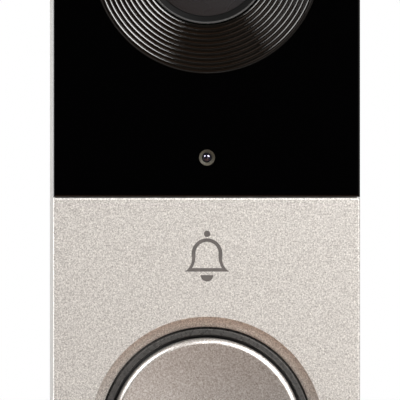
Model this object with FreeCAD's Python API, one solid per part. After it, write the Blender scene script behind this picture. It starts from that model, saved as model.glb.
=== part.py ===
"""Wired video doorbell: a slim upright housing that hooks onto a wall bracket.

The front is split at mid height into a gloss camera panel above and a satin metal faceplate below.
The camera looks out through a dome in a ridged funnel, and the big round push button sits in a
chamfered well with a lit ring around it. Inside are the camera module with its day and night filter,
the button board, the main board, a loudspeaker and a microphone. The wires come in through the wall
bracket and go under two screw terminals on the back.

Millimetres. X is to the right as seen from the front, Z is up, and the front faces -Y. The origin is
the centre of the bracket's back face, so Y = 0 is the wall.
"""
import FreeCAD
import Part
import math
import os

Vector = FreeCAD.Vector

# ---- Driving dimensions -------------------------------------------------------------------------
WIDTH = 48.0
HEIGHT = 128.0
DEPTH = 26.0
CAMERA_Z = 37.2          # height of the camera axis above the middle
BUTTON_Z = -37.0         # height of the button axis
PLATE = 1.7              # thickness of the camera panel and the faceplate
ADHESIVE = 0.3           # thickness of the adhesive sheets under both
PLATE_CORNER = 1.2
SPLIT_GAP = 0.1          # gap between panel and faceplate
INSET = 0.3              # how far the housing stays inside the plates' outline
WALL = 2.0
BODY_CORNER = 1.8
DECK = 1.6               # thickness of the front frame's deck
SEAM_Y = -13.0           # where front frame and rear shell meet
REAR_WALL = (-7.6, -6.0)  # inner and outer face of the rear shell's wall
SKIRT_Y = -1.5           # back edge of the skirt that hides the bracket

# Camera funnel and dome
FUNNEL_HOLE = 18.0       # radius of the panel's hole
RIDGE_PITCH = 0.741
RIDGES = 10
DOME_RADIUS = 8.8
RETAINER_RADIUS = 10.1
FUNNEL_DEPTH = 2.1
RIDGE_HEIGHT = 0.17

# Button, lit ring and well
CAP_RADIUS = 15.03
RING_INNER = 15.53
RING_OUTER = 16.44
WELL_INNER = 16.78
WELL_OUTER = 18.35
WELL_DEPTH = 1.15
BUTTON_TRAVEL = 0.6
CAP_BACK = -24.55        # back of the cap's face, where the carrier is glued on
CARRIER_FRONT = -23.55   # front of the carrier's flange

# Wall bracket and the hook that the housing hangs on
BRACKET_HALF_WIDTH = 19.5
BRACKET_PLATE = 2.0
BRACKET_TOP = 52.5
BRACKET_BOTTOM = -58.5
HOOK_Y = -3.9
HOOK_Z = 58.0
BEAD_RADIUS = 1.2
SCREW_SPACING = 83.3     # slot to slot, as on a single-gang wall box
SLOT_WIDTH = 4.4
SLOT_LENGTH = 8.0

# Day and night filter
FILTER_TRAVEL = 6.6
ROTOR_SWING = 70.0       # degrees
ROTOR_RISE = 12.0        # rotor axis above the camera axis

# Values worked out from those above
FRONT = -DEPTH
PLATE_BACK = FRONT + PLATE
DECK_FRONT = PLATE_BACK + ADHESIVE
DECK_BACK = DECK_FRONT + DECK
BODY_WIDTH = WIDTH - 2 * INSET
BODY_HEIGHT = HEIGHT - 2 * INSET
INNER_WIDTH = BODY_WIDTH - 2 * WALL
INNER_HEIGHT = BODY_HEIGHT - 2 * WALL
BODY_BOTTOM = -BODY_HEIGHT / 2
ROTOR_ARM = FILTER_TRAVEL / 2 / math.sin(math.radians(ROTOR_SWING / 2))

# Board levels, front face and back face
BUTTON_BOARD_Y = (-18.4, -17.4)
MAIN_BOARD_Y = (-12.6, -11.4)
CAMERA_BOARD_Y = (-11.0, -10.0)
IR_BOARD_Y = (-21.4, -20.4)

# Places shared by several pieces, as (x, z)
HOUSING_BOSSES = [(x, z) for x in (-18.8, 18.8) for z in (-58.8, 58.8)]
BUTTON_BOARD_HOLES = [(x, BUTTON_Z + z) for x in (-18.4, 18.4) for z in (-16.2, 16.2)]
TOP_POSTS = [(-17.6, 14.0), (17.6, 14.0)]
CAMERA_POSTS = [(-13.6, CAMERA_Z - 10.5), (13.6, CAMERA_Z - 10.5),
                (-13.6, CAMERA_Z + 10.5), (13.6, CAMERA_Z + 10.5)]
IR_LEDS = [(x, 12.6) for x in (-11.0, -4.0, 4.0, 11.0)]
SENSOR = (0.0, 6.2)
TERMINALS = [(-5.6, -15.0), (5.6, -15.0)]
RESET = (0.0, -48.0)
MIC_X = 14.2
SPEAKER_Y = (-21.6, -14.0)
SPEAKER_HALF = 11.5
SPEAKER_Z = (-61.28, -56.2)
LOCK_Y = -3.9            # axis of the locking screw at the bottom
LOCK_TRAVEL = 2.0
WINDOW = (-11.0, 11.0, -27.0, -4.0)  # wire window: left, right, bottom, top
LEG_RADIUS = 19.6        # circle that the lit ring's light legs stand on
LIGHT_LEGS = [(LEG_RADIUS * math.cos(math.radians(22.5 + 45 * i)),
               BUTTON_Z + LEG_RADIUS * math.sin(math.radians(22.5 + 45 * i))) for i in range(8)]


# ---- Helpers ------------------------------------------------------------------------------------
def box(x, y, z):
    """Box between pairs of coordinates."""
    low = Vector(min(x), min(y), min(z))
    return Part.makeBox(max(x) - low.x, max(y) - low.y, max(z) - low.z, low)


def block(cx, cz, width, height, y):
    """Box centred on (cx, cz), between two y values."""
    return box((cx - width / 2, cx + width / 2), y, (cz - height / 2, cz + height / 2))


def rod(x, z, radius, y):
    """Cylinder along Y."""
    return Part.makeCylinder(radius, max(y) - min(y), Vector(x, min(y), z), Vector(0, 1, 0))


def post(x, y, radius, z):
    """Cylinder along Z."""
    return Part.makeCylinder(radius, max(z) - min(z), Vector(x, y, min(z)))


def tube(x, z, outer, inner, y):
    return rod(x, z, outer, y).cut(rod(x, z, inner, y))


def plate(width, height, corner, y, cx=0.0, cz=0.0):
    """Rounded rectangle in the XZ plane, between two y values."""
    solid = block(cx, cz, width, height, y)
    return solid.makeFillet(corner, [e for e in solid.Edges if is_along_y(e)])


def is_along_y(edge):
    a, b = edge.Vertexes[0].Point, edge.Vertexes[-1].Point
    return abs(a.y - b.y) > 1e-6 and abs(a.x - b.x) < 1e-6 and abs(a.z - b.z) < 1e-6


def frame_ring(width, height, corner, thickness, y):
    """Rounded rectangular ring."""
    inner = plate(width - 2 * thickness, height - 2 * thickness, max(corner - thickness, 0.3), y)
    return plate(width, height, corner, y).cut(inner)


def turned_face(edges, x, z):
    face = Part.Face(Part.Wire(edges))
    solid = face.revolve(Vector(x, 0, z), Vector(0, 1, 0), 360)
    return Part.Solid(solid) if solid.ShapeType != "Solid" else solid


def turned(points, x, z):
    """Polygon of (radius, y) points turned about the axis through (x, z) along Y."""
    corners = [Vector(x + r, y, z) for r, y in points]
    edges = [Part.makeLine(a, b) for a, b in zip(corners, corners[1:] + corners[:1])]
    return turned_face(edges, x, z)


def arc(a, b, c):
    return Part.Arc(a, b, c).toShape()


def fuse(first, *others):
    for other in others:
        first = first.fuse(other)
    return first.removeSplitter()


def cut(first, *others):
    for other in others:
        first = first.cut(other)
    return first


def spherical(radius, edge_y, apex_y, z, inward=False):
    """Arc of a sphere centred on the axis, from its edge to its apex, or back again."""
    rise = abs(apex_y - edge_y)
    sphere = (radius ** 2 + rise ** 2) / (2 * rise)
    way = 1 if edge_y > apex_y else -1
    middle_y = apex_y + way * (sphere - math.sqrt(sphere ** 2 - radius ** 2 / 4))
    ends = [Vector(radius, edge_y, z), Vector(0, apex_y, z)]
    if inward:
        ends.reverse()
    return arc(ends[0], Vector(radius / 2, middle_y, z), ends[1])


def ball(radius, edge_y, apex_y, z):
    """Sphere centred on the axis through its apex and its edge circle. Its poles point up and down."""
    rise = apex_y - edge_y
    sphere = (radius ** 2 + rise ** 2) / (2 * abs(rise))
    return Part.makeSphere(sphere, Vector(0, apex_y - math.copysign(sphere, rise), z))


def soften_front(solid, radius, y=FRONT):
    """Rounds every edge that lies in the plane at y."""
    edges = [e for e in solid.Edges if all(abs(v.Point.y - y) < 1e-6 for v in e.Vertexes)]
    return solid.makeFillet(radius, edges)


def pan_screw(x, z, head_radius, head, shank_radius, shank, y, way):
    """Screw along Y whose head starts at y. way is +1 when the shank points to +Y."""
    body = fuse(rod(x, z, head_radius, (y, y + way * head)),
                rod(x, z, shank_radius, (y + way * head * 0.5, y + way * (head + shank))))
    depth = way * head * 0.55
    slot = block(x, z, head_radius * 1.3, 0.5, (y, y + depth))
    return cut(body, slot, block(x, z, 0.5, head_radius * 1.3, (y, y + depth)))


parts = {}


# ---- Wall bracket -------------------------------------------------------------------------------
def wall_bracket():
    height = BRACKET_TOP - BRACKET_BOTTOM
    middle = (BRACKET_TOP + BRACKET_BOTTOM) / 2
    back = plate(2 * BRACKET_HALF_WIDTH, height, 3.0, (-BRACKET_PLATE, 0), 0, middle)
    rim = cut(plate(2 * BRACKET_HALF_WIDTH, height, 3.0, (-3.2, -1.0), 0, middle),
              plate(2 * BRACKET_HALF_WIDTH - 3.2, height - 3.2, 1.4, (-3.2, -1.0), 0, middle))
    half_tongue = 14.0
    riser = 0.75
    shelf = box((-half_tongue, half_tongue), (HOOK_Y - riser, -1.0), (BRACKET_TOP - 1.6, BRACKET_TOP))
    tongue = box((-half_tongue, half_tongue), (HOOK_Y - riser, HOOK_Y + riser), (BRACKET_TOP - 1, HOOK_Z))
    bead = Part.makeCylinder(BEAD_RADIUS, 2 * half_tongue, Vector(-half_tongue, HOOK_Y, HOOK_Z),
                             Vector(1, 0, 0))
    lock_tab = box((-5.5, 5.5), (-5.8, -1.0), (BRACKET_BOTTOM, BRACKET_BOTTOM + 1.6))
    lock_boss = post(0, LOCK_Y, 2.1, (BRACKET_BOTTOM, BRACKET_BOTTOM + 3.0))
    stops = [block(x, -50.0, 3.0, 8.0, (-5.92, -1.0)) for x in (-14.5, 14.5)]
    left, right, low, high = WINDOW
    window = box((left, right), (-4, 1), (low, high))
    window_rim = cut(box((left - 1.5, right + 1.5), (-3.2, -1), (low - 1.5, high + 1.5)), window)
    solid = cut(fuse(back, rim, window_rim, shelf, tongue, bead, lock_tab, lock_boss, *stops), window)
    for z in (-SCREW_SPACING / 2, SCREW_SPACING / 2):
        solid = cut(solid, slot_hole(z))
    return cut(solid, post(0, LOCK_Y, 1.3, (BRACKET_BOTTOM - 1, BRACKET_BOTTOM + 4)))


def slot_hole(z):
    """Upright slot for a wall screw through the bracket."""
    reach = (-4, 1)
    half = (SLOT_LENGTH - SLOT_WIDTH) / 2
    return fuse(rod(0, z - half, SLOT_WIDTH / 2, reach), rod(0, z + half, SLOT_WIDTH / 2, reach),
                block(0, z, SLOT_WIDTH, 2 * half, reach))


def lock_screw():
    """Locking screw, drawn backed out: its head is just inside the bottom face."""
    head_low = BODY_BOTTOM + 0.1
    head = post(0, LOCK_Y, 1.9, (head_low, head_low + 1.2))
    shank = post(0, LOCK_Y, 1.2, (head_low + 1.0, BRACKET_BOTTOM - 0.25))
    socket = [box((-w, w), (LOCK_Y - d, LOCK_Y + d), (head_low - 1, head_low + 0.7))
              for w, d in ((1.2, 0.3), (0.3, 1.2))]
    return cut(fuse(head, shank), *socket)


# ---- Housing ------------------------------------------------------------------------------------
def front_frame():
    walls = frame_ring(BODY_WIDTH, BODY_HEIGHT, BODY_CORNER, WALL, (DECK_FRONT, SEAM_Y))
    deck = plate(BODY_WIDTH - 1, BODY_HEIGHT - 1, BODY_CORNER, (DECK_FRONT, DECK_BACK))
    solid = fuse(walls, deck)
    for x, z in HOUSING_BOSSES:
        solid = fuse(solid, rod(x, z, 2.4, (DECK_BACK - 0.2, SEAM_Y)))
        solid = fuse(solid, block(math.copysign(20.8, x), z, 3.2, 2.0, (DECK_BACK - 0.2, SEAM_Y)))
    for x, z in BUTTON_BOARD_HOLES:
        solid = fuse(solid, rod(x, z, 2.2, (DECK_BACK - 0.2, BUTTON_BOARD_Y[0])))
    for x, z in TOP_POSTS:
        solid = fuse(solid, rod(x, z, 2.0, (DECK_BACK - 0.2, MAIN_BOARD_Y[0])))
    for x, z in CAMERA_POSTS:
        solid = fuse(solid, rod(x, z, 2.0, (DECK_BACK - 0.2, CAMERA_BOARD_Y[0])))
    for x in (-13.0, 13.0):
        solid = fuse(solid, rod(x, 5.6, 1.5, (DECK_BACK - 0.2, IR_BOARD_Y[0])),
                     rod(x, 5.6, 0.75, (-22, IR_BOARD_Y[1] + 0.4)))
    for x in (-SPEAKER_HALF - 0.3, SPEAKER_HALF + 0.3):
        solid = fuse(solid, block(x, -59.5, 0.5, 5.0, (DECK_BACK - 0.2, SPEAKER_Y[1])))
    cuts = [rod(0, CAMERA_Z, 16.6, (-30, DECK_BACK + 0.01)),
            rod(0, CAMERA_Z, 19.3, (-30, DECK_FRONT + 0.75)),
            rod(0, BUTTON_Z, 16.6, (-30, DECK_BACK + 0.01)),
            rod(0, BUTTON_Z, 20.8, (-30, DECK_FRONT + 0.45)),
            rod(*SENSOR, 0.9, (-30, DECK_BACK + 0.01)),
            frame_ring(BODY_WIDTH - 1.1, BODY_HEIGHT - 1.1, BODY_CORNER - 0.5, 0.9,
                       (SEAM_Y - 1.6, SEAM_Y + 1))]
    cuts += [block(x, z, 4.6, 4.6, (-30, DECK_BACK + 0.01)) for x, z in IR_LEDS]
    cuts += [rod(x, z, 1.0, (-30, DECK_BACK + 0.01)) for x, z in LIGHT_LEGS]
    cuts += [rod(x, z, 0.9, (DECK_BACK + 1, SEAM_Y + 1)) for x, z in HOUSING_BOSSES]
    cuts += [rod(x, z, 0.9, (DECK_BACK + 1, BUTTON_BOARD_Y[0] + 1)) for x, z in BUTTON_BOARD_HOLES]
    cuts += [rod(x, z, 0.9, (-17.6, MAIN_BOARD_Y[0] + 1)) for x, z in TOP_POSTS]
    cuts += [rod(x, z, 0.9, (-16.0, CAMERA_BOARD_Y[0] + 1)) for x, z in CAMERA_POSTS]
    cuts += speaker_slots()
    cuts.append(post(MIC_X, -17.8, 0.5, (BODY_BOTTOM - 1, BODY_BOTTOM + WALL + 1)))
    return cut(solid, *cuts)


def speaker_slots():
    """Sound slots through the bottom wall."""
    middle = sum(SPEAKER_Y) / 2
    reach = (BODY_BOTTOM - 1, BODY_BOTTOM + WALL + 0.5)
    slots = []
    for i in range(-4, 5):
        x = i * 2.3
        bar = box((x - 0.6, x + 0.6), (middle - 2.4, middle + 2.4), reach)
        ends = [post(x, middle + s * 2.4, 0.6, reach) for s in (-1, 1)]
        slots.append(fuse(bar, *ends))
    return slots


def rear_shell():
    walls = soften_front(plate(BODY_WIDTH, BODY_HEIGHT, BODY_CORNER, (SEAM_Y, SKIRT_Y)), 0.6, SKIRT_Y)
    walls = cut(walls, plate(INNER_WIDTH, INNER_HEIGHT, 0.3, (SEAM_Y - 1, SKIRT_Y + 1)))
    seam_groove = frame_ring(BODY_WIDTH + 1, BODY_HEIGHT + 1, BODY_CORNER + 0.5, 0.75,
                             (SEAM_Y - 0.1, SEAM_Y + 0.3))
    back = plate(BODY_WIDTH - 1, BODY_HEIGHT - 1, BODY_CORNER, REAR_WALL)
    tongue = frame_ring(BODY_WIDTH - 1.3, BODY_HEIGHT - 1.3, BODY_CORNER - 0.6, 0.7,
                        (SEAM_Y - 0.85, SEAM_Y + 0.2))
    solid = fuse(walls, back, tongue)
    for x, z in HOUSING_BOSSES:
        solid = fuse(solid, rod(x, z, 2.4, (SEAM_Y, REAR_WALL[0] + 0.2)))
        solid = fuse(solid, block(math.copysign(20.8, x), z, 3.2, 2.0, (SEAM_Y, REAR_WALL[0] + 0.2)))
    hooks = [hook(x) for x in (-9.0, 9.0)]
    lock_boss = box((-4.0, 4.0), (REAR_WALL[1] - 0.2, SKIRT_Y), (BODY_BOTTOM + 1, BRACKET_BOTTOM - 0.4))
    divider = block(0, -15.0, 1.4, 13.0, (REAR_WALL[1] - 0.2, -3.4))
    guards = [block(x, -15.0, 1.2, 10.0, (REAR_WALL[1] - 0.2, -4.2)) for x in (-10.3, 10.3)]
    solid = fuse(solid, *hooks, lock_boss, divider, *guards)
    cuts = [seam_groove, post(0, LOCK_Y, 2.1, (BODY_BOTTOM - 1, BODY_BOTTOM + 3.35)),
            post(0, LOCK_Y, 1.35, (BODY_BOTTOM - 1, BRACKET_BOTTOM)),
            rod(*RESET, 1.5, (REAR_WALL[0] - 1, REAR_WALL[1] + 1))]
    cuts += [rod(x, z, 1.2, (SEAM_Y - 1, REAR_WALL[1] + 1)) for x, z in HOUSING_BOSSES]
    cuts += [rod(x, z, 2.2, (REAR_WALL[1] - 2.4, REAR_WALL[1] + 1)) for x, z in HOUSING_BOSSES]
    cuts += [rod(x, z, 1.45, (REAR_WALL[0] - 1, REAR_WALL[1] + 1)) for x, z in TERMINALS]
    return cut(solid, *cuts)


def hook(x):
    """Lip on the shell that reaches over and behind the bracket's bead."""
    inner = BEAD_RADIUS + 0.15
    lump = box((x - 4.5, x + 4.5), (REAR_WALL[1] - 0.2, HOOK_Y + 2.3),
               (HOOK_Z - 0.2, INNER_HEIGHT / 2 + 0.2))
    groove = Part.makeCylinder(inner, 12, Vector(x - 6, HOOK_Y, HOOK_Z), Vector(1, 0, 0))
    slot = box((x - 6, x + 6), (HOOK_Y - inner, HOOK_Y + inner), (HOOK_Z - 2, HOOK_Z))
    return cut(lump, groove, slot)


def body_seal():
    return frame_ring(BODY_WIDTH - 1.2, BODY_HEIGHT - 1.2, BODY_CORNER - 0.55, 0.8,
                      (SEAM_Y - 1.55, SEAM_Y - 0.9))


def housing_screws():
    return [pan_screw(x, z, 2.0, 1.3, 0.82, 9.0, REAR_WALL[1] - 1.05, -1) for x, z in HOUSING_BOSSES]


# ---- Front plates -------------------------------------------------------------------------------
def half_plate(low, high, corner_z, softening):
    """Front plate between two heights, with rounded corners at the end at corner_z."""
    solid = box((-WIDTH / 2, WIDTH / 2), (FRONT, PLATE_BACK), (low, high))
    corners = [e for e in solid.Edges if is_along_y(e) and abs(e.Vertexes[0].Z - corner_z) < 1e-6]
    return soften_front(solid.makeFillet(PLATE_CORNER, corners), softening)


def camera_panel():
    solid = half_plate(SPLIT_GAP / 2, HEIGHT / 2, HEIGHT / 2, 0.3)
    x, z = SENSOR
    pit = turned([(0, FRONT - 0.1), (1.33, FRONT - 0.1), (0.78, FRONT + 0.45), (0.78, PLATE_BACK + 0.1),
                  (0, PLATE_BACK + 0.1)], x, z)
    return cut(solid, rod(0, CAMERA_Z, FUNNEL_HOLE, (FRONT - 1, PLATE_BACK + 1)), pit)


def faceplate():
    solid = half_plate(-HEIGHT / 2, -SPLIT_GAP / 2, -HEIGHT / 2, 0.3)
    well = turned([(0, FRONT - 0.1), (WELL_OUTER + 0.14, FRONT - 0.1), (WELL_INNER, FRONT + WELL_DEPTH),
                   (WELL_INNER, PLATE_BACK + 0.1), (0, PLATE_BACK + 0.1)], 0, BUTTON_Z)
    recess = [face.extrude(Vector(0, 0.2, 0)) for face in bell_faces(FRONT)]
    recess = [r.fuse(face.extrude(Vector(0, -0.1, 0))) for r, face in zip(recess, bell_faces(FRONT))]
    return cut(solid, well, *recess)


def bell_faces(y):
    """Flat faces of a plain bell sign: an outlined bell, its knob and its clapper."""
    middle = -9.3

    def at(u, v):
        return Vector(u, y, middle + v)

    def bell(half, foot, lip, top):
        edges = [Part.makeLine(at(-half - lip, foot), at(half + lip, foot)),
                 arc(at(half + lip, foot), at(half + lip * 0.25, foot + 0.9), at(half, foot + 2.2)),
                 arc(at(half, foot + 2.2), at(0, top), at(-half, foot + 2.2)),
                 arc(at(-half, foot + 2.2), at(-half - lip * 0.25, foot + 0.9), at(-half - lip, foot))]
        return Part.Face(Part.Wire(edges))

    outline = bell(2.35, -2.3, 1.15, 2.9).cut(bell(1.8, -1.75, 0.5, 2.35)).Faces[0]
    knob = Part.Face(Part.Wire(Part.makeCircle(0.5, at(0, 3.6), Vector(0, 1, 0))))
    clapper = Part.Face(Part.Wire([Part.makeLine(at(-1.0, -2.85), at(1.0, -2.85)),
                                   arc(at(1.0, -2.85), at(0, -3.85), at(-1.0, -2.85))]))
    return [outline, knob, clapper]


def emblem():
    return [face.extrude(Vector(0, 0.17, 0)) for face in bell_faces(FRONT + 0.03)]


def adhesive_sheets():
    y = (PLATE_BACK, DECK_FRONT)
    camera_side = cut(block(0, HEIGHT / 4, WIDTH - 4, HEIGHT / 2 - 4, y), rod(0, CAMERA_Z, 19.5, y),
                      *[block(px, pz, 5, 5, y) for px, pz in IR_LEDS], rod(*SENSOR, 1.6, y))
    button_side = cut(block(0, -HEIGHT / 4, WIDTH - 4, HEIGHT / 2 - 4, y), rod(0, BUTTON_Z, 20.9, y))
    return [camera_side, button_side]


# ---- Camera -------------------------------------------------------------------------------------
def camera_ring():
    """Funnel of rounded ridges that steps down from the panel to the dome."""
    def at(r, y):
        return Vector(r, y, CAMERA_Z)

    outer = FUNNEL_HOLE - 0.1
    lip = outer - 0.26
    slope = FUNNEL_DEPTH / (RIDGES * RIDGE_PITCH)
    valleys = [at(lip - k * RIDGE_PITCH, FRONT + 0.15 + k * RIDGE_PITCH * slope) for k in range(RIDGES + 1)]
    edges = [arc(at(outer, FRONT + 0.2), at((outer + lip) / 2, FRONT), valleys[0])]
    for a, b in zip(valleys, valleys[1:]):
        crest = (a + b) * 0.5 - Vector(0, RIDGE_HEIGHT, 0)
        edges.append(arc(a, crest, b))
    inner = valleys[-1]
    back = inner.y + 0.9
    flange = DECK_FRONT + 0.7
    corners = [inner, at(inner.x, back), at(16.3, back), at(16.3, flange), at(19.0, flange),
               at(19.0, PLATE_BACK + 0.02), at(outer, PLATE_BACK + 0.02), at(outer, FRONT + 0.2)]
    edges += [Part.makeLine(a, b) for a, b in zip(corners, corners[1:])]
    return turned_face(edges, 0, CAMERA_Z)


def dome_retainer():
    y = FRONT + FUNNEL_DEPTH + 0.15
    outer, inner, step = RETAINER_RADIUS - 0.1, DOME_RADIUS + 0.05, RETAINER_RADIUS - 0.7
    return turned([(inner, y + 0.45), (outer - 0.45, y - 0.02), (outer - 0.2, y - 0.12), (outer, y - 0.02),
                   (outer, y + 1.3), (step, y + 1.3), (step, y + 0.8), (inner, y + 0.8)], 0, CAMERA_Z)


def dome_window():
    """Thin spherical dome with a flange that the retainer clamps."""
    base = FRONT + FUNNEL_DEPTH + 0.5
    apex = base - 2.3
    wall = 0.9
    back = base + wall + 0.1
    inside = DOME_RADIUS - 0.6
    outer = ball(DOME_RADIUS, base, apex, CAMERA_Z).common(rod(0, CAMERA_Z, DOME_RADIUS, (apex - 1, base + 0.5)))
    hollow = ball(inside, back - 0.3, apex + wall, CAMERA_Z).common(rod(0, CAMERA_Z, inside, (apex, back)))
    return cut(fuse(outer, rod(0, CAMERA_Z, RETAINER_RADIUS - 0.75, (base + 0.5, back))), hollow)


def lens_barrel():
    return turned([(4.55, -22.4), (6.6, -22.4), (7.0, -22.0), (7.0, -20.6), (6.0, -20.6), (6.0, -15.6),
                   (3.4, -15.6), (3.4, -19.4), (4.0, -19.4), (4.0, -20.6), (4.55, -20.6)], 0, CAMERA_Z)


def lens(radius, front_edge, front_apex, back_edge, back_apex):
    """Turned lens between two spherical faces."""
    def at(r, y):
        return Vector(r, y, CAMERA_Z)

    edges = [spherical(radius, front_edge, front_apex, CAMERA_Z),
             Part.makeLine(at(0, front_apex), at(0, back_apex)),
             spherical(radius, back_edge, back_apex, CAMERA_Z, inward=True),
             Part.makeLine(at(radius, back_edge), at(radius, front_edge))]
    return turned_face(edges, 0, CAMERA_Z)


def lens_holder():
    """Tube for the barrel on a base whose channel holds the sliding filter."""
    base_y = (-14.0, CAMERA_BOARD_Y[0])
    base = block(0, CAMERA_Z + 2.2, 22.9, 18.4, base_y)
    channel = block(0, CAMERA_Z, 21.6, 9.2, (-13.05, -10))
    ear_room = block(0, CAMERA_Z + 6.6, 13.0, 4.6, (-13.05, -10))
    pin_window = block(0, CAMERA_Z + 6.8, 9.6, 3.4, (-15, -12))
    tower = rod(0, CAMERA_Z, 7.6, (-18.2, -13.8))
    bore = rod(0, CAMERA_Z, 6.06, (-19, -13.9))
    light_hole = rod(0, CAMERA_Z, 3.4, (-15, -12))
    room = rod(0, CAMERA_Z + 6.8, 5.2, (-15.4, -14.0))
    return cut(fuse(base, tower), channel, ear_room, pin_window, bore, light_hole,
               block(0, CAMERA_Z + 6.8, 9.6, 3.4, (-15.6, -13)), room)


def filter_carrier():
    """Sliding plate with two windows and an ear for the rotor's pin, drawn with the day filter in place."""
    y = (-12.85, -11.95)
    middle = FILTER_TRAVEL / 2
    body = block(middle, CAMERA_Z, FILTER_TRAVEL + 7.6, 8.8, y)
    ear = block(middle, CAMERA_Z + 6.0, 3.6, 4.4, y)
    slot = block(middle, CAMERA_Z + 6.6, 1.56, 3.6, y)
    windows = [block(x, CAMERA_Z, 5.4, 6.4, y) for x in (0.0, FILTER_TRAVEL)]
    return cut(fuse(body, ear), slot, *windows)


def filter_glass(x):
    return block(x, CAMERA_Z, 5.36, 6.36, (-12.7, -12.1))


def rotor_arm():
    """Arm on the rotor, with the pin that drives the carrier. Its pin starts at the day end."""
    angle = math.radians(ROTOR_SWING / 2)
    px, pz = ROTOR_ARM * math.sin(angle), ROTOR_RISE - ROTOR_ARM * math.cos(angle)
    z = CAMERA_Z + ROTOR_RISE
    level = (-15.3, -14.5)
    bar = box((-0.9, 0.9), level, (z - ROTOR_ARM, z))
    bar.rotate(Vector(0, 0, z), Vector(0, 1, 0), -ROTOR_SWING / 2)
    hub = rod(0, z, 1.7, level)
    return fuse(hub, bar, rod(px, CAMERA_Z + pz, 0.9, level), rod(px, CAMERA_Z + pz, 0.6, (-15.0, -12.0)))


def rotor_magnet():
    z = CAMERA_Z + ROTOR_RISE
    return cut(rod(0, z, 2.0, (-19.2, -15.3)), rod(0, z, 0.62, (-20, -15)))


def rotor_coil():
    """Coil housing around the magnet, with the spindle that the rotor turns on."""
    z = CAMERA_Z + ROTOR_RISE
    shell = cut(block(0, z, 9.4, 7.0, (-19.9, -15.5)), rod(0, z, 2.15, (-19.4, -15)))
    spindle = rod(0, z, 0.58, (-19.6, -15.5))
    feet = [block(x, z, 1.6, 4.0, (-15.6, -14.0)) for x in (-3.8, 3.8)]
    return fuse(shell, spindle, *feet)


def image_sensor():
    body = block(0, CAMERA_Z, 8.4, 7.6, (-11.8, CAMERA_BOARD_Y[0]))
    return cut(body, block(0, CAMERA_Z, 6.4, 5.6, (-12, -11.45)))


def camera_board():
    board = plate(31.0, 26.0, 1.5, CAMERA_BOARD_Y, 0, CAMERA_Z)
    return cut(board, *[rod(x, z, 1.1, CAMERA_BOARD_Y) for x, z in CAMERA_POSTS])


def camera_ribbon():
    """Flat cable that steps from the camera board's back to the main board's back."""
    half = 5.5
    t = 0.25
    high, low = CAMERA_BOARD_Y[1] + 0.9, MAIN_BOARD_Y[1] + 0.9
    top, bend, end = CAMERA_Z - 11.2, CAMERA_Z - 14.6, 13.4

    def at(y, z):
        return Vector(-half, y, z)

    points = [at(high, top), at(high, bend), at(low, bend - 3.4), at(low, end),
              at(low - t, end), at(low - t, bend - 3.45), at(high - t, bend - 0.05), at(high - t, top)]
    edges = [Part.makeLine(a, b) for a, b in zip(points, points[1:] + points[:1])]
    return Part.Face(Part.Wire(edges)).extrude(Vector(2 * half, 0, 0))


def sensor_lens():
    """Clear light pipe with a rounded tip, behind the small hole in the panel."""
    x, z = SENSOR
    tip = Part.makeSphere(0.9, Vector(x, FRONT + 1.15, z)).common(rod(x, z, 0.7, (FRONT, FRONT + 1.3)))
    flange = rod(x, z, 1.4, (PLATE_BACK + 0.02, DECK_FRONT - 0.02))
    return fuse(tip, rod(x, z, 0.7, (FRONT + 0.8, -22.2)), flange)


def ir_board():
    board = plate(31.0, 14.5, 1.0, IR_BOARD_Y, 0, 10.6)
    return cut(board, *[rod(x, 5.6, 0.8, IR_BOARD_Y) for x in (-13, 13)])


def ir_leds():
    leds = []
    for x, z in IR_LEDS:
        base = block(x, z, 3.5, 3.5, (IR_BOARD_Y[0] - 0.8, IR_BOARD_Y[0]))
        dome = Part.makeSphere(1.5, Vector(x, IR_BOARD_Y[0] - 0.8, z))
        leds.append(fuse(base, dome.common(block(x, z, 4, 4, (IR_BOARD_Y[0] - 3, IR_BOARD_Y[0] - 0.5)))))
    return leds


# ---- Button -------------------------------------------------------------------------------------
def button_cap():
    """Metal cap with a rounded rim and a shallow dished face."""
    def at(r, y):
        return Vector(r, y, BUTTON_Z)

    rim = 14.15
    run = CAP_RADIUS - rim
    bend = run / math.sqrt(2)
    skirt = CARRIER_FRONT - 0.1
    corners = [at(CAP_RADIUS, FRONT + run), at(CAP_RADIUS, skirt), at(14.1, skirt),
               at(14.1, CAP_BACK), at(0, CAP_BACK), at(0, FRONT), at(rim, FRONT)]
    edges = [arc(at(rim, FRONT), at(rim + bend, FRONT + run - bend), at(CAP_RADIUS, FRONT + run))]
    edges += [Part.makeLine(a, b) for a, b in zip(corners, corners[1:])]
    return cut(turned_face(edges, 0, BUTTON_Z), ball(rim, FRONT, FRONT + 0.85, BUTTON_Z))


def button_carrier():
    """Plastic carrier glued into the cap. Its flange stops behind the lit ring."""
    back = CARRIER_FRONT + 0.95
    flange = rod(0, BUTTON_Z, 16.1, (CARRIER_FRONT, back))
    disc = fuse(rod(0, BUTTON_Z, 14.0, (CAP_BACK, back - 0.4)), flange)
    hollow = tube(0, BUTTON_Z, 12.4, 8.2, (-24.0, back + 1))
    ribs = []
    for i in range(6):
        rib = box((-0.6, 0.6), (-24.2, back), (8.0, 12.6))
        rib.rotate(Vector(0, 0, 0), Vector(0, 1, 0), 60 * i)
        rib.translate(Vector(0, 0, BUTTON_Z))
        ribs.append(rib)
    presser = rod(0, BUTTON_Z, 2.2, (back - 0.1, -21.32))
    spring_seat = tube(0, BUTTON_Z, 5.4, 4.6, (back - 0.1, back + 0.5))
    return fuse(cut(disc, hollow), *ribs, presser, spring_seat)


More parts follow.
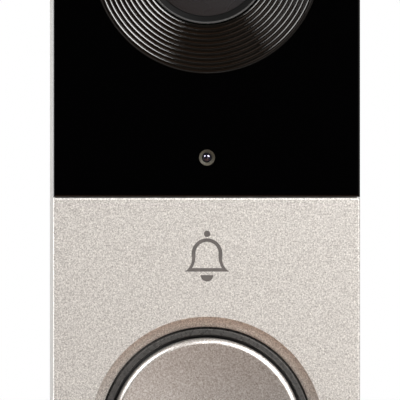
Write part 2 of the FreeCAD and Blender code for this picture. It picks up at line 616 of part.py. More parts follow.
def light_ring():
    """Translucent ring with eight legs that carry the light up from the board."""
    front = FRONT + 0.85
    edge = 0.18
    ring = turned([(RING_INNER, front + edge), (RING_INNER + edge, front), (RING_OUTER - edge, front),
                   (RING_OUTER, front + edge), (RING_OUTER, PLATE_BACK + 0.1), (20.6, PLATE_BACK + 0.1),
                   (20.6, DECK_FRONT + 0.4), (RING_INNER, DECK_FRONT + 0.4)], 0, BUTTON_Z)
    legs = [rod(x, z, 0.8, (DECK_FRONT, -19.5)) for x, z in LIGHT_LEGS]
    return fuse(ring, *legs)


def button_seal():
    """Silicone membrane between the carrier's flange and the deck."""
    lip = CARRIER_FRONT + 0.97
    foot = DECK_BACK + 0.02
    return turned([(15.0, lip), (15.8, lip), (16.1, foot + 0.75), (16.6, foot + 0.75), (16.95, foot + 0.3),
                   (16.95, foot), (18.3, foot), (18.3, foot + 0.8), (17.1, foot + 0.8), (16.8, foot + 1.1),
                   (16.0, foot + 1.1), (15.6, lip + 0.7), (15.0, lip + 0.7)], 0, BUTTON_Z)


def return_spring():
    """Round-wire coil spring between the board and the carrier."""
    wire_radius = 0.3
    coil_radius = 6.2
    turns = 3.5
    front = CARRIER_FRONT + 0.95 + wire_radius + 0.03
    length = BUTTON_BOARD_Y[0] - wire_radius - 0.03 - front
    helix = Part.makeHelix(length / turns, length, coil_radius)
    section = Part.Wire(Part.makeCircle(wire_radius, Vector(coil_radius, 0, 0), Vector(0, 1, 0)))
    spring = Part.Wire(helix).makePipeShell([section], True, True)
    spring = Part.Solid(spring) if spring.ShapeType != "Solid" else spring
    spring.rotate(Vector(0, 0, 0), Vector(1, 0, 0), -90)
    spring.translate(Vector(0, front, BUTTON_Z))
    return spring


def button_board():
    board = plate(42.0, 38.0, 2.5, BUTTON_BOARD_Y, 0, BUTTON_Z)
    return cut(board, *[rod(x, z, 1.0, BUTTON_BOARD_Y) for x, z in BUTTON_BOARD_HOLES])


def ring_leds():
    level = (BUTTON_BOARD_Y[0] - 0.8, BUTTON_BOARD_Y[0])
    return [block(x, z, 1.5, 1.5, level) for x, z in LIGHT_LEGS]


def tact_switch():
    top = -20.6
    body = fuse(block(0, BUTTON_Z, 6.2, 6.2, (top + 0.3, BUTTON_BOARD_Y[0])),
                rod(0, BUTTON_Z, 2.7, (top, top + 0.5)))
    return cut(body, rod(0, BUTTON_Z, 1.75, (top - 1, top + 1.7)))


def switch_plunger():
    return rod(0, BUTTON_Z, 1.65, (-21.3, -19.6))


# ---- Boards -------------------------------------------------------------------------------------
def board_standoffs():
    """Brass pillars that clamp the button board and carry the main board."""
    pillars = []
    for x, z in BUTTON_BOARD_HOLES:
        pillar = fuse(rod(x, z, 1.8, (BUTTON_BOARD_Y[1], MAIN_BOARD_Y[0])),
                      rod(x, z, 0.8, (-20.6, BUTTON_BOARD_Y[1] + 0.2)))
        pillars.append(cut(pillar, rod(x, z, 0.8, (-15.2, MAIN_BOARD_Y[0] + 1))))
    return pillars


def main_board():
    board = plate(41.0, 74.0, 1.5, MAIN_BOARD_Y, 0, -19.0)
    holes = [rod(x, z, 1.0, MAIN_BOARD_Y) for x, z in BUTTON_BOARD_HOLES + TOP_POSTS]
    return cut(board, *holes, *[rod(x, z, 1.5, MAIN_BOARD_Y) for x, z in TERMINALS])


def board_screws():
    """Screws that hold the main board and the camera board from behind."""
    head = 0.9
    places = [(x, z, MAIN_BOARD_Y[1]) for x, z in BUTTON_BOARD_HOLES + TOP_POSTS]
    places += [(x, z, CAMERA_BOARD_Y[1]) for x, z in CAMERA_POSTS]
    return [pan_screw(x, z, 1.7, head, 0.75, 3.2, y + head, -1) for x, z, y in places]


def shield_can():
    """Sheet-metal can over the processor, open towards the board."""
    outside = plate(20.0, 17.0, 0.8, (-15.2, MAIN_BOARD_Y[0]), -6.5, 4.0)
    inside = block(-6.5, 4.0, 19.5, 16.5, (-14.95, MAIN_BOARD_Y[0] + 1))
    return cut(outside, inside)


def processor():
    return block(-6.5, 4.0, 13.0, 13.0, (-14.0, MAIN_BOARD_Y[0]))


def radio_module():
    """Wireless module: a small board with its own can."""
    return fuse(block(10.5, 4.0, 11.0, 15.0, (-13.4, MAIN_BOARD_Y[0])),
                block(10.5, 2.0, 9.4, 9.6, (-15.0, -13.3)))


def backup_capacitor():
    """Two-ended capacitor that rides through the moment when the chime takes the power."""
    x, z, radius, half = 0.0, -30.0, 1.7, 7.0
    return Part.makeCylinder(radius, 2 * half, Vector(x - half, MAIN_BOARD_Y[1] + radius, z),
                             Vector(1, 0, 0))


def board_connectors():
    """Board-to-board headers, the flat cable's two sockets and the loudspeaker's contacts."""
    header = block(0, -21.4, 12.0, 3.6, (BUTTON_BOARD_Y[1], MAIN_BOARD_Y[0]))
    light_header = block(0, 16.4, 8.0, 2.2, (IR_BOARD_Y[1], MAIN_BOARD_Y[0]))
    camera = block(0, CAMERA_Z - 10.6, 13.0, 2.6, (CAMERA_BOARD_Y[1], CAMERA_BOARD_Y[1] + 1.2))
    main = block(0, 14.4, 13.0, 2.6, (MAIN_BOARD_Y[1], MAIN_BOARD_Y[1] + 1.2))
    camera_slot = box((-5.6, 5.6), (CAMERA_BOARD_Y[1] + 0.6, CAMERA_BOARD_Y[1] + 0.95),
                      (CAMERA_Z - 13, CAMERA_Z - 11.1))
    main_slot = box((-5.6, 5.6), (MAIN_BOARD_Y[1] + 0.6, MAIN_BOARD_Y[1] + 0.95), (13.3, 16.5))
    return [header, light_header, cut(camera, camera_slot), cut(main, main_slot)] + speaker_contacts()


def power_parts():
    """Rectifier, inductor and two capacitors beside the terminals."""
    face = MAIN_BOARD_Y[0]
    rectifier = block(-13.5, -16.0, 5.0, 6.0, (face - 2.2, face))
    inductor = plate(6.4, 6.4, 1.2, (face - 3.0, face), 13.0, -15.0)
    capacitors = [block(x, -8.5, 3.2, 2.6, (face - 2.4, face)) for x in (-16.0, 16.5)]
    return [rectifier, inductor] + capacitors


def heat_spreader():
    """Aluminium sheet behind the main board, clear of the flat cable and the terminals."""
    sheet = plate(36.0, 14.0, 1.0, (-8.7, -7.9), 0, 3.0)
    pad = block(0, 3.0, 12.0, 10.0, (MAIN_BOARD_Y[1], -8.6))
    return fuse(sheet, pad)


# ---- Terminals and reset ------------------------------------------------------------------------
def terminal_plates():
    """Plates that the bell wires are clamped on, with sleeves down to the board."""
    plates = []
    for x, z in TERMINALS:
        washer = block(x, z, 7.4, 8.4, (REAR_WALL[1], REAR_WALL[1] + 0.8))
        sleeve = rod(x, z, 1.4, (-12.0, REAR_WALL[1] + 0.3))
        plates.append(cut(fuse(washer, sleeve), rod(x, z, 1.02, (-13, REAR_WALL[1] + 1))))
    return plates


def terminal_screws():
    top = REAR_WALL[1] + 0.8 + 1.5
    return [pan_screw(x, z, 2.7, 1.5, 0.96, 5.0, top, -1) for x, z in TERMINALS]


def reset_button():
    x, z = RESET
    return fuse(rod(x, z, 1.4, (-8.6, REAR_WALL[1] - 0.2)), rod(x, z, 2.2, (-8.4, REAR_WALL[0] - 0.05)))


def reset_switch():
    x, z = RESET
    return fuse(block(x, z, 4.2, 4.2, (MAIN_BOARD_Y[1], -10.0)), rod(x, z, 1.0, (-10.1, -9.05)))


# ---- Sound --------------------------------------------------------------------------------------
def speaker_frame():
    low, high = SPEAKER_Z
    shell = box((-SPEAKER_HALF, SPEAKER_HALF), SPEAKER_Y, SPEAKER_Z)
    inside = box((-SPEAKER_HALF + 0.9, SPEAKER_HALF - 0.9), (SPEAKER_Y[0] + 0.7, SPEAKER_Y[1] - 0.7),
                 (low - 1, high - 0.6))
    vents = [post(x, sum(SPEAKER_Y) / 2, 0.7, (high - 1, high + 1)) for x in (-9.0, 9.0)]
    return cut(shell, inside, *vents)


def racetrack(half_length, half_depth, z):
    """Flat body with round ends, lying in the XY plane."""
    middle = sum(SPEAKER_Y) / 2
    straight = half_length - half_depth
    slab = box((-straight, straight), (middle - half_depth, middle + half_depth), z)
    return fuse(slab, post(-straight, middle, half_depth, z), post(straight, middle, half_depth, z))


def speaker_magnet():
    """Back plate, magnet and centre pole, with the gap that the voice coil moves in."""
    high = SPEAKER_Z[1] - 0.6
    yoke = racetrack(8.4, 2.9, (high - 0.5, high))
    rim = cut(racetrack(8.4, 2.9, (high - 1.9, high - 0.4)), racetrack(7.9, 2.4, (high - 3, high)))
    pole = racetrack(6.7, 1.35, (high - 1.9, high - 0.4))
    return fuse(yoke, rim, pole)


def voice_coil():
    high = SPEAKER_Z[1] - 0.6
    level = (high - 2.3, high - 0.95)
    return cut(racetrack(7.4, 2.05, level), racetrack(7.1, 1.7, (level[0] - 1, level[1] + 1)))


def speaker_cone():
    high = SPEAKER_Z[1] - 2.9
    return fuse(racetrack(8.0, 2.4, (high - 0.35, high)), racetrack(5.0, 1.3, (high - 0.6, high - 0.2)))


def speaker_surround():
    """Soft edge between the cone and the frame."""
    high = SPEAKER_Z[1] - 3.0
    return cut(racetrack(9.6, 3.05, (high - 0.2, high)), racetrack(8.05, 2.45, (high - 1, high + 1)))


def speaker_mesh():
    middle = sum(SPEAKER_Y) / 2
    floor = BODY_BOTTOM + WALL
    half = SPEAKER_HALF - 0.3
    return box((-half, half), (middle - 3.5, middle + 3.5), (floor + 0.02, floor + 0.3))


def speaker_contacts():
    """Sprung fingers from the loudspeaker to the main board."""
    top = SPEAKER_Z[1]
    fingers = []
    for x in (-8.0, 8.0):
        wide = (x - 0.9, x + 0.9)
        fingers.append(fuse(box(wide, (-14.75, -14.5), (top, top + 1.7)),
                            box(wide, (-14.75, MAIN_BOARD_Y[0]), (top + 1.45, top + 1.7))))
    return fingers


def microphone():
    floor = BODY_BOTTOM + WALL
    return box((MIC_X - 1.4, MIC_X + 1.4), (-19.6, -16.0), (floor + 1.9, floor + 2.9))


def mic_strip():
    """Flat strip from the microphone up to the main board."""
    floor = BODY_BOTTOM + WALL + 2.9
    x = (MIC_X - 1.2, MIC_X + 1.2)
    return fuse(box(x, (-19.6, MAIN_BOARD_Y[0]), (floor, floor + 0.15)),
                box(x, (MAIN_BOARD_Y[0] - 0.15, MAIN_BOARD_Y[0]), (floor, -52.5)))


def mic_boot():
    """Rubber boot that seals the microphone over its pinhole."""
    floor = BODY_BOTTOM + WALL
    boot = box((MIC_X - 2.1, MIC_X + 2.1), (-20.3, -15.3), (floor + 0.05, floor + 2.7))
    pocket = box((MIC_X - 1.45, MIC_X + 1.45), (-19.65, -15.95), (floor + 1.85, floor + 4))
    return cut(boot, pocket, post(MIC_X, -17.8, 0.6, (floor - 1, floor + 3)))


# ---- Assembly -----------------------------------------------------------------------------------
def build():
    parts["wall_bracket"] = wall_bracket()
    parts["lock_screw"] = lock_screw()
    parts["front_frame"] = front_frame()
    parts["rear_shell"] = rear_shell()
    parts["body_seal"] = body_seal()
    parts["housing_screws"] = housing_screws()
    parts["camera_panel"] = camera_panel()
    parts["faceplate"] = faceplate()
    parts["emblem"] = emblem()
    parts["adhesive_sheets"] = adhesive_sheets()
    parts["camera_ring"] = camera_ring()
    parts["dome_retainer"] = dome_retainer()
    parts["dome_window"] = dome_window()
    parts["lens_barrel"] = lens_barrel()
    parts["lens_elements"] = [lens(4.5, -22.0, -23.0, -20.65, -20.95),
                              lens(3.35, -17.3, -18.1, -16.5, -15.8)]
    parts["lens_holder"] = lens_holder()
    parts["filter_carrier"] = filter_carrier()
    parts["day_filter_glass"] = filter_glass(0.0)
    parts["night_clear_glass"] = filter_glass(FILTER_TRAVEL)
    parts["rotor_arm"] = rotor_arm()
    parts["rotor_magnet"] = rotor_magnet()
    parts["rotor_coil"] = rotor_coil()
    parts["image_sensor"] = image_sensor()
    parts["camera_board"] = camera_board()
    parts["flat_cables"] = [camera_ribbon(), mic_strip()]
    parts["sensor_lens"] = sensor_lens()
    parts["light_sensor"] = block(*SENSOR, 2.2, 2.2, (-22.15, IR_BOARD_Y[0]))
    parts["ir_board"] = ir_board()
    parts["ir_leds"] = ir_leds()
    parts["button_cap"] = button_cap()
    parts["button_carrier"] = button_carrier()
    parts["light_ring"] = light_ring()
    parts["button_seal"] = button_seal()
    parts["return_spring"] = return_spring()
    parts["button_board"] = button_board()
    parts["ring_leds"] = ring_leds()
    parts["tact_switch"] = tact_switch()
    parts["switch_plunger"] = switch_plunger()
    parts["board_standoffs"] = board_standoffs()
    parts["main_board"] = main_board()
    parts["board_screws"] = board_screws()
    parts["shield_can"] = shield_can()
    parts["processor"] = processor()
    parts["radio_module"] = radio_module()
    parts["backup_capacitor"] = backup_capacitor()
    parts["board_connectors"] = board_connectors()
    parts["power_parts"] = power_parts()
    parts["heat_spreader"] = heat_spreader()
    parts["terminal_plates"] = terminal_plates()
    parts["terminal_screws"] = terminal_screws()
    parts["reset_button"] = reset_button()
    parts["reset_switch"] = reset_switch()
    parts["speaker_frame"] = speaker_frame()
    parts["speaker_magnet"] = speaker_magnet()
    parts["voice_coil"] = voice_coil()
    parts["speaker_cone"] = speaker_cone()
    parts["speaker_surround"] = speaker_surround()
    parts["speaker_mesh"] = speaker_mesh()
    parts["microphone"] = microphone()
    parts["mic_boot"] = mic_boot()


def export():
    os.makedirs("parts", exist_ok=True)
    for name, shape in parts.items():
        solids = []
        for piece in shape if isinstance(shape, list) else [shape]:
            solids += piece.Solids
        for solid in solids:
            if not solid.isValid() or solid.Volume <= 0:
                print("bad solid in", name)
        whole = solids[0] if len(solids) == 1 else Part.makeCompound(solids)
        whole.exportStep(f"parts/{name}.step")
        print(f"{name:20s} solids {len(solids):2d}  volume {whole.Volume:9.1f} mm3")


build()
export()
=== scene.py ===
"""Looks, light and camera for the wired video doorbell.

Every piece is a CAD node with a procedural material on it. The return spring and the button's seal
are shown by copies of their nodes, hung on the housing. Distances are in metres.
"""
import math

import bpy
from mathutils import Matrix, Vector


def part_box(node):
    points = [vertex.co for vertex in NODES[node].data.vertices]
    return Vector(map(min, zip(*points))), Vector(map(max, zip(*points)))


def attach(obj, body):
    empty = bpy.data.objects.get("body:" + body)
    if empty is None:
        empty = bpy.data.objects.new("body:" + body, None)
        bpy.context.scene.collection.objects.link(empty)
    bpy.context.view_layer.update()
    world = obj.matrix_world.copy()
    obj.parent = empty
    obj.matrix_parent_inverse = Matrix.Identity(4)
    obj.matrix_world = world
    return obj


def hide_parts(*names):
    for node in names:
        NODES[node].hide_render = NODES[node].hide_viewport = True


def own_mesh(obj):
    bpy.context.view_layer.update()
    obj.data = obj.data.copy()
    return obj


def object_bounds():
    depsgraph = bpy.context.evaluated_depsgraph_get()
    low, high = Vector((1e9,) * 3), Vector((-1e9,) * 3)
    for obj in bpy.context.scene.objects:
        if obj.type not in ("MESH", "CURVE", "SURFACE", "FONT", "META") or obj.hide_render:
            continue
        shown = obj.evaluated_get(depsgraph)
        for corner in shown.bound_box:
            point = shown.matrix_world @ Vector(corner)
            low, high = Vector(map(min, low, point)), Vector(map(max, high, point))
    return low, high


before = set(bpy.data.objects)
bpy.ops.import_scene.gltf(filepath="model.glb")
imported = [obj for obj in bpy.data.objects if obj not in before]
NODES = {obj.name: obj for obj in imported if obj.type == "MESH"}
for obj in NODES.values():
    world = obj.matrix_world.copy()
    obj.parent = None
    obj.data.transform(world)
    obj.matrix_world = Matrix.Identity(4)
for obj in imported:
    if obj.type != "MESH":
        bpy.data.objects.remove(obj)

CAD_BOX = [list(corner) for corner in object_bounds()]
SCENE = bpy.context.scene
FRONT = CAD_BOX[0][1]

SENSOR_PIT = (0.00122, 0.00126)     # radii between which the panel's gloss begins
# the retainer's painted highlight begins at the same radii as its polish
RETAINER_LIP_AND_HIGHLIGHT = (0.00972, 0.00978)   # radii between which the retainer's polish begins
RING_LIP = (0.01752, 0.01762)       # radii between which the ring's gloss ends
NOISE_RANGE = (0.3, 0.7)            # holds nearly all of a noise texture's values

WARM_SILVER = (0.68, 0.638, 0.61)
WARM_CAP = (0.9, 0.73, 0.615)
# colour of the painted reflection on the chamfer of the sensor's pit
PAINTED_PIT_REFLECTION = (0.055, 0.05, 0.038)
DAYLIGHT = (1.0, 0.985, 0.975)

LIGHT_DISTANCE = 0.9
COVE = (0.2, 0.7, (0.95, 0.95, 0.95))       # start and end of the fade towards the back, colour
BENCH = (-0.08, -0.7, (0.36, 0.175, 0.09))  # start and end of the fade downwards, colour
ROOM = (0.003, 0.0025, 0.002)               # colour of the rest of what the object mirrors

FLOOR_REACH = 0.45
FLOOR_GAP = 0.0006
FRONT_WIDTH = 0.048                 # of the object, and in the picture's pixels
FRONT_WIDTH_SEEN = 307.5
PICTURE_WIDTH = 400
VIEW_HEIGHT = -0.00042              # of the camera and of what it is aimed at
VIEW_DISTANCE = 0.875


# ---- Shader helpers -----------------------------------------------------------------------------
class Shader:
    """A material under construction: its nodes, its links and its principled shader."""

    def __init__(self, name, colour, roughness, metallic=0.0, **values):
        self.material = bpy.data.materials.new(name)
        self.material.use_nodes = True
        self.tree = self.material.node_tree
        self.bsdf = self.tree.nodes["Principled BSDF"]
        self.set("Base Color", (*colour, 1.0))
        self.set("Roughness", roughness)
        self.set("Metallic", metallic)
        for key, value in values.items():
            self.set(key.replace("_", " ").title().replace("Ior", "IOR"), value)
        self.place = self.node("ShaderNodeTexCoord").outputs["Object"]
        self.normal = None

    def set(self, socket, value):
        self.bsdf.inputs[socket].default_value = value

    def node(self, kind, **values):
        made = self.tree.nodes.new(kind)
        for key, value in values.items():
            setattr(made, key, value)
        return made

    def link(self, source, target):
        self.tree.links.new(source, target)

    def stretched(self, scale):
        """Object coordinates multiplied by a scale per axis."""
        mapping = self.node("ShaderNodeMapping")
        mapping.inputs["Scale"].default_value = scale
        self.link(self.place, mapping.inputs["Vector"])
        return mapping.outputs["Vector"]

    def noise(self, scale, detail=2.0, roughness=0.5, vector=None):
        made = self.node("ShaderNodeTexNoise")
        made.inputs["Scale"].default_value = scale
        made.inputs["Detail"].default_value = detail
        made.inputs["Roughness"].default_value = roughness
        self.link(vector or self.place, made.inputs["Vector"])
        return made.outputs["Fac"]

    def cells(self, scale, vector):
        """Distance to the second nearest of scattered points."""
        made = self.node("ShaderNodeTexVoronoi", feature="F2")
        made.inputs["Scale"].default_value = scale
        self.link(vector, made.inputs["Vector"])
        return made.outputs["Distance"]

    def bands(self, scale, direction):
        made = self.node("ShaderNodeTexWave", wave_type="BANDS", bands_direction=direction)
        made.inputs["Scale"].default_value = scale
        self.link(self.place, made.inputs["Vector"])
        return made.outputs["Fac"]

    def remap(self, source, low, high, to_low, to_high):
        made = self.node("ShaderNodeMapRange", clamp=True)
        ends = {"From Min": low, "From Max": high, "To Min": to_low, "To Max": to_high}
        for key, value in ends.items():
            made.inputs[key].default_value = value
        self.link(source, made.inputs["Value"])
        return made.outputs["Result"]

    def level(self, noise, low, high):
        """A noise texture's usual range, stretched to another one."""
        return self.remap(noise, *NOISE_RANGE, low, high)

    def math(self, operation, first, second):
        """First socket with a second socket or a number."""
        made = self.node("ShaderNodeMath", operation=operation)
        self.link(first, made.inputs[0])
        if isinstance(second, float):
            made.inputs[1].default_value = second
        else:
            self.link(second, made.inputs[1])
        return made.outputs[0]

    def from_axis(self, name):
        """Distance from the front-to-back axis through the middle of a node."""
        low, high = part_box(name)
        offset = self.node("ShaderNodeVectorMath", operation="SUBTRACT")
        offset.inputs[1].default_value = [(a + b) / 2 for a, b in zip(low, high)]
        self.link(self.place, offset.inputs[0])
        flat = self.node("ShaderNodeVectorMath", operation="MULTIPLY")
        flat.inputs[1].default_value = (1, 0, 1)
        self.link(offset.outputs["Vector"], flat.inputs[0])
        length = self.node("ShaderNodeVectorMath", operation="LENGTH")
        self.link(flat.outputs["Vector"], length.inputs[0])
        return length.outputs["Value"]

    def blend(self, factor, first, second):
        """Base colour mixed from two colours."""
        made = self.node("ShaderNodeMix", data_type="RGBA")
        made.inputs["A"].default_value = (*first, 1.0)
        made.inputs["B"].default_value = (*second, 1.0)
        self.link(factor, made.inputs["Factor"])
        self.link(made.outputs["Result"], self.bsdf.inputs["Base Color"])

    def mottle(self, noise, colour, darkest, brightest):
        """Base colour that a noise darkens and brightens by these factors."""
        self.blend(self.level(noise, 0, 1), shade(colour, darkest), shade(colour, brightest))

    def roughen(self, source):
        self.link(source, self.bsdf.inputs["Roughness"])

    def bump(self, height, distance, strength):
        """Relief on top of any relief that was added before."""
        made = self.node("ShaderNodeBump")
        made.inputs["Strength"].default_value = strength
        made.inputs["Distance"].default_value = distance
        self.link(height, made.inputs["Height"])
        if self.normal:
            self.link(self.normal, made.inputs["Normal"])
        self.normal = made.outputs["Normal"]
        self.link(self.normal, self.bsdf.inputs["Normal"])


def shade(colour, factor):
    return tuple(min(1.0, c * factor) for c in colour)


# ---- Materials ----------------------------------------------------------------------------------
def blasted_metal(name, colour, roughness, grain, relief):
    """Bead-blasted metal: bright and dark grains over a soft sheen."""
    s = Shader(name, colour, roughness, metallic=0.92)
    s.mottle(s.noise(4300, 3.0, 0.8), colour, 1 - grain, 1 + grain)
    s.roughen(s.level(s.noise(3600), roughness - 0.03, roughness + 0.03))
    s.bump(s.noise(4800, 2.0, 0.6), 0.00002, relief)
    s.bump(s.noise(260), 0.00001, 0.15)
    return s.material


def gloss_black(name, colour, roughness):
    """Piano-black moulding with very faint wipe marks. The sensor's pit in it is matt, with a
    painted reflection.
    """
    s = Shader(name, colour, roughness)
    pit = s.remap(s.from_axis("sensor_lens"), *SENSOR_PIT, 1, 0)
    # painted reflection: the pit's chamfer gets a paler brown base colour
    s.blend(pit, colour, PAINTED_PIT_REFLECTION)
    wipes = s.noise(60, 4.0, 0.6, s.stretched((1.0, 1.0, 4.0)))
    gloss = s.level(wipes, roughness, roughness + 0.03)
    s.roughen(s.math("ADD", gloss, s.math("MULTIPLY", pit, 0.3)))
    s.bump(s.noise(35, 1.0), 0.00001, 0.05)
    return s.material


def matt_ring(name, colour, painted_highlight_colour):
    """Dull black ring with a polished lip that carries a painted highlight: a lighter base colour
    drawn as a thin bright line.
    """
    s = Shader(name, colour, 0.6, specular_ior_level=0.06)
    lip = s.remap(s.from_axis("dome_retainer"), *RETAINER_LIP_AND_HIGHLIGHT, 0, 1)
    # painted highlight: a lighter base colour along the lip
    s.blend(lip, colour, painted_highlight_colour)
    grain = s.level(s.noise(1500, 3.0), 0.55, 0.65)
    s.roughen(s.math("SUBTRACT", grain, s.math("MULTIPLY", lip, 0.35)))
    s.bump(s.noise(3000), 0.000004, 0.3)
    return s.material


def ridged_black(name, colour):
    """Gloss-black turned ring with faint tool lines along its ridges and a dull outer lip."""
    s = Shader(name, colour, 0.1)
    radius = s.from_axis("camera_ring")
    lip = s.remap(radius, *RING_LIP, 0, 0.5)
    s.roughen(s.math("ADD", s.level(s.noise(700, 3.0), 0.07, 0.12), lip))
    s.link(s.remap(radius, *RING_LIP, 0.5, 0.1), s.bsdf.inputs["Specular IOR Level"])
    s.blend(s.noise(1500, 3.0), shade(colour, 0.7), shade(colour, 1.4))
    s.bump(s.noise(900), 0.000003, 0.1)
    return s.material


def moulded(name, colour, roughness, relief=0.00001, scale=2600, spread=0.08, **values):
    """Moulded plastic or rubber with a fine spark-eroded texture."""
    s = Shader(name, colour, roughness, **values)
    s.mottle(s.noise(scale / 6, 3.0), colour, 1 - spread, 1 + spread)
    s.roughen(s.level(s.noise(420, 3.0), roughness - 0.05, roughness + 0.07))
    s.bump(s.noise(scale, 3.0, 0.6), relief, 0.5)
    return s.material


def turned_metal(name, colour, roughness, lines=9000, metallic=1.0):
    """Bright metal with fine tool lines and faint tarnish."""
    s = Shader(name, colour, roughness, metallic)
    streak = s.noise(lines / 10, 3.0, 0.6, s.stretched((1.0, 9.0, 1.0)))
    s.mottle(s.noise(350, 3.0), colour, 0.86, 1.08)
    s.roughen(s.level(streak, roughness - 0.05, roughness + 0.1))
    s.bump(streak, 0.000006, 0.35)
    return s.material


def smoked_glass(name, colour, roughness, ior, tint):
    """Dark window that lets a little light through and tints what it mirrors."""
    s = Shader(name, colour, roughness, transmission_weight=0.3, ior=ior,
               specular_tint=(*tint, 1.0))
    s.roughen(s.level(s.noise(120, 3.0), roughness, roughness + 0.02))
    s.bump(s.noise(40, 1.0), 0.000004, 0.04)
    return s.material


def coated_glass(name, colour, tint):
    """Lens glass whose coating shifts from one tint to another over the surface."""
    s = Shader(name, colour, 0.02, transmission_weight=0.75, ior=1.6, coat_weight=1.0,
               coat_roughness=0.01)
    s.blend(s.remap(s.noise(130, 1.0), 0.35, 0.65, 0, 1), colour, tint)
    s.roughen(s.level(s.noise(300), 0.01, 0.035))
    return s.material


def circuit_board(name, green, copper):
    """Solder mask over copper tracks, with darker bare laminate between them."""
    s = Shader(name, green, 0.3, coat_weight=0.5, coat_roughness=0.15)
    pour = s.remap(s.cells(520, s.stretched((1.0, 0.02, 1.0))), 0.48, 0.54, 0, 1)
    s.blend(pour, copper, green)
    s.bump(pour, 0.00002, 0.4)
    s.roughen(s.level(s.noise(800), 0.24, 0.36))
    return s.material


def woven_mesh(name, colour):
    """Fine woven wire cloth."""
    s = Shader(name, colour, 0.4, metallic=0.8)
    weave = s.math("MULTIPLY", s.bands(1300, "X"), s.bands(1300, "Y"))
    s.blend(weave, shade(colour, 0.25), colour)
    s.bump(weave, 0.00004, 0.8)
    s.roughen(s.level(s.noise(900), 0.35, 0.5))
    return s.material


def frosted_ring(name, darker, paler):
    """Smoked diffuser: dark and slightly milky, as it is while the button's lamps are off."""
    s = Shader(name, paler, 0.28, transmission_weight=0.1, ior=1.49, coat_weight=0.3,
               coat_roughness=0.1)
    s.blend(s.level(s.noise(1400, 3.0), 0, 1), darker, paler)
    s.roughen(s.level(s.noise(2000), 0.24, 0.34))
    s.bump(s.noise(4200), 0.000004, 0.3)
    return s.material


def amber_film(name, film, conductor):
    """Flat cable film with its conductors showing through."""
    s = Shader(name, film, 0.3, coat_weight=0.4, coat_roughness=0.1)
    lines = s.bands(500, "X")
    s.blend(s.remap(lines, 0.4, 0.6, 0, 1), film, conductor)
    s.bump(lines, 0.00001, 0.3)
    s.roughen(s.level(s.noise(600), 0.25, 0.38))
    return s.material


def dress(names, material):
    for name in names.split():
        mesh = NODES[name].data
        mesh.materials.clear()
        mesh.materials.append(material)


def front_looks():
    dress("faceplate", blasted_metal("plate_metal", WARM_SILVER, 0.5, 0.55, 0.4))
    dress("button_cap", blasted_metal("cap_metal", WARM_CAP, 0.38, 0.6, 0.25))
    dress("camera_panel", gloss_black("panel_black", (0.0003, 0.0003, 0.00035), 0.03))
    dress("camera_ring", ridged_black("funnel_black", (0.0028, 0.0022, 0.0017)))
    # the lighter grey is a painted highlight along the retainer's lip
    dress("dome_retainer",
          matt_ring("retainer_black", (0.0035, 0.0035, 0.0035), (0.06, 0.06, 0.06)))
    dress("dome_window",
          smoked_glass("dome_glass", (0.018, 0.021, 0.025), 0.26, 1.5, (0.93, 0.97, 1.0)))
    dress("sensor_lens",
          smoked_glass("clear_plastic", (0.01, 0.01, 0.016), 0.06, 2.3, (0.85, 0.8, 1.0)))
    dress("light_ring",
          frosted_ring("diffuser", (0.034, 0.033, 0.032), (0.05, 0.048, 0.046)))
    dress("emblem", moulded("emblem_ink", (0.07, 0.062, 0.058), 0.55, 0.000008, 5200, 0.2))
    dress("front_frame rear_shell",
          moulded("housing_plastic", (0.42, 0.415, 0.405), 0.55, 0.000012, 2400, 0.04,
                  specular_ior_level=0.3))


def moulding_looks():
    dress("wall_bracket",
          moulded("bracket_plastic", (0.025, 0.025, 0.026), 0.5, 0.00002, 1500, 0.15))
    dress("body_seal mic_boot speaker_surround",
          moulded("rubber", (0.02, 0.02, 0.021), 0.75, 0.00002, 1800, 0.2))
    dress("button_seal",
          moulded("silicone", (0.55, 0.55, 0.52), 0.5, 0.00001, 1500, 0.06,
                  subsurface_weight=0.2))
    dress("adhesive_sheets",
          moulded("foam_tape", (0.03, 0.03, 0.03), 0.85, 0.00003, 3000, 0.3))
    dress("lens_holder filter_carrier rotor_arm button_carrier speaker_frame speaker_cone"
          " reset_button switch_plunger",
          moulded("black_moulding", (0.018, 0.018, 0.019), 0.45))
    dress("rotor_coil", moulded("coil_moulding", (0.05, 0.035, 0.025), 0.5))
    dress("processor power_parts board_connectors reset_switch light_sensor",
          moulded("chip_package", (0.022, 0.022, 0.024), 0.55, 0.000015, 3000, 0.2))
    dress("ir_leds ring_leds",
          moulded("lamp_epoxy", (0.75, 0.73, 0.6), 0.25, 0.000004, 1800, 0.05,
                  subsurface_weight=0.3))
    dress("backup_capacitor",
          moulded("sleeve_blue", (0.02, 0.035, 0.16), 0.3, 0.000004, 1500, 0.08,
                  coat_weight=0.3))


def metal_looks():
    dress("lock_screw housing_screws terminal_screws board_screws",
          turned_metal("screw_steel", (0.55, 0.55, 0.56), 0.3))
    dress("lens_barrel",
          turned_metal("black_anodised", (0.035, 0.035, 0.038), 0.35, metallic=0.6))
    dress("rotor_magnet speaker_magnet", turned_metal("magnet_nickel", (0.62, 0.6, 0.56), 0.25))
    dress("voice_coil", turned_metal("copper_wire", (0.65, 0.28, 0.13), 0.3, lines=20000))
    dress("return_spring", turned_metal("spring_wire", (0.6, 0.6, 0.62), 0.22, lines=15000))
    dress("shield_can radio_module tact_switch microphone",
          turned_metal("tinned_sheet", (0.62, 0.62, 0.6), 0.34))
    dress("heat_spreader", turned_metal("sheet_aluminium", (0.72, 0.72, 0.73), 0.38))
    dress("board_standoffs terminal_plates", turned_metal("brass", (0.68, 0.47, 0.18), 0.28))
    dress("speaker_mesh", woven_mesh("mesh_cloth", (0.12, 0.12, 0.12)))


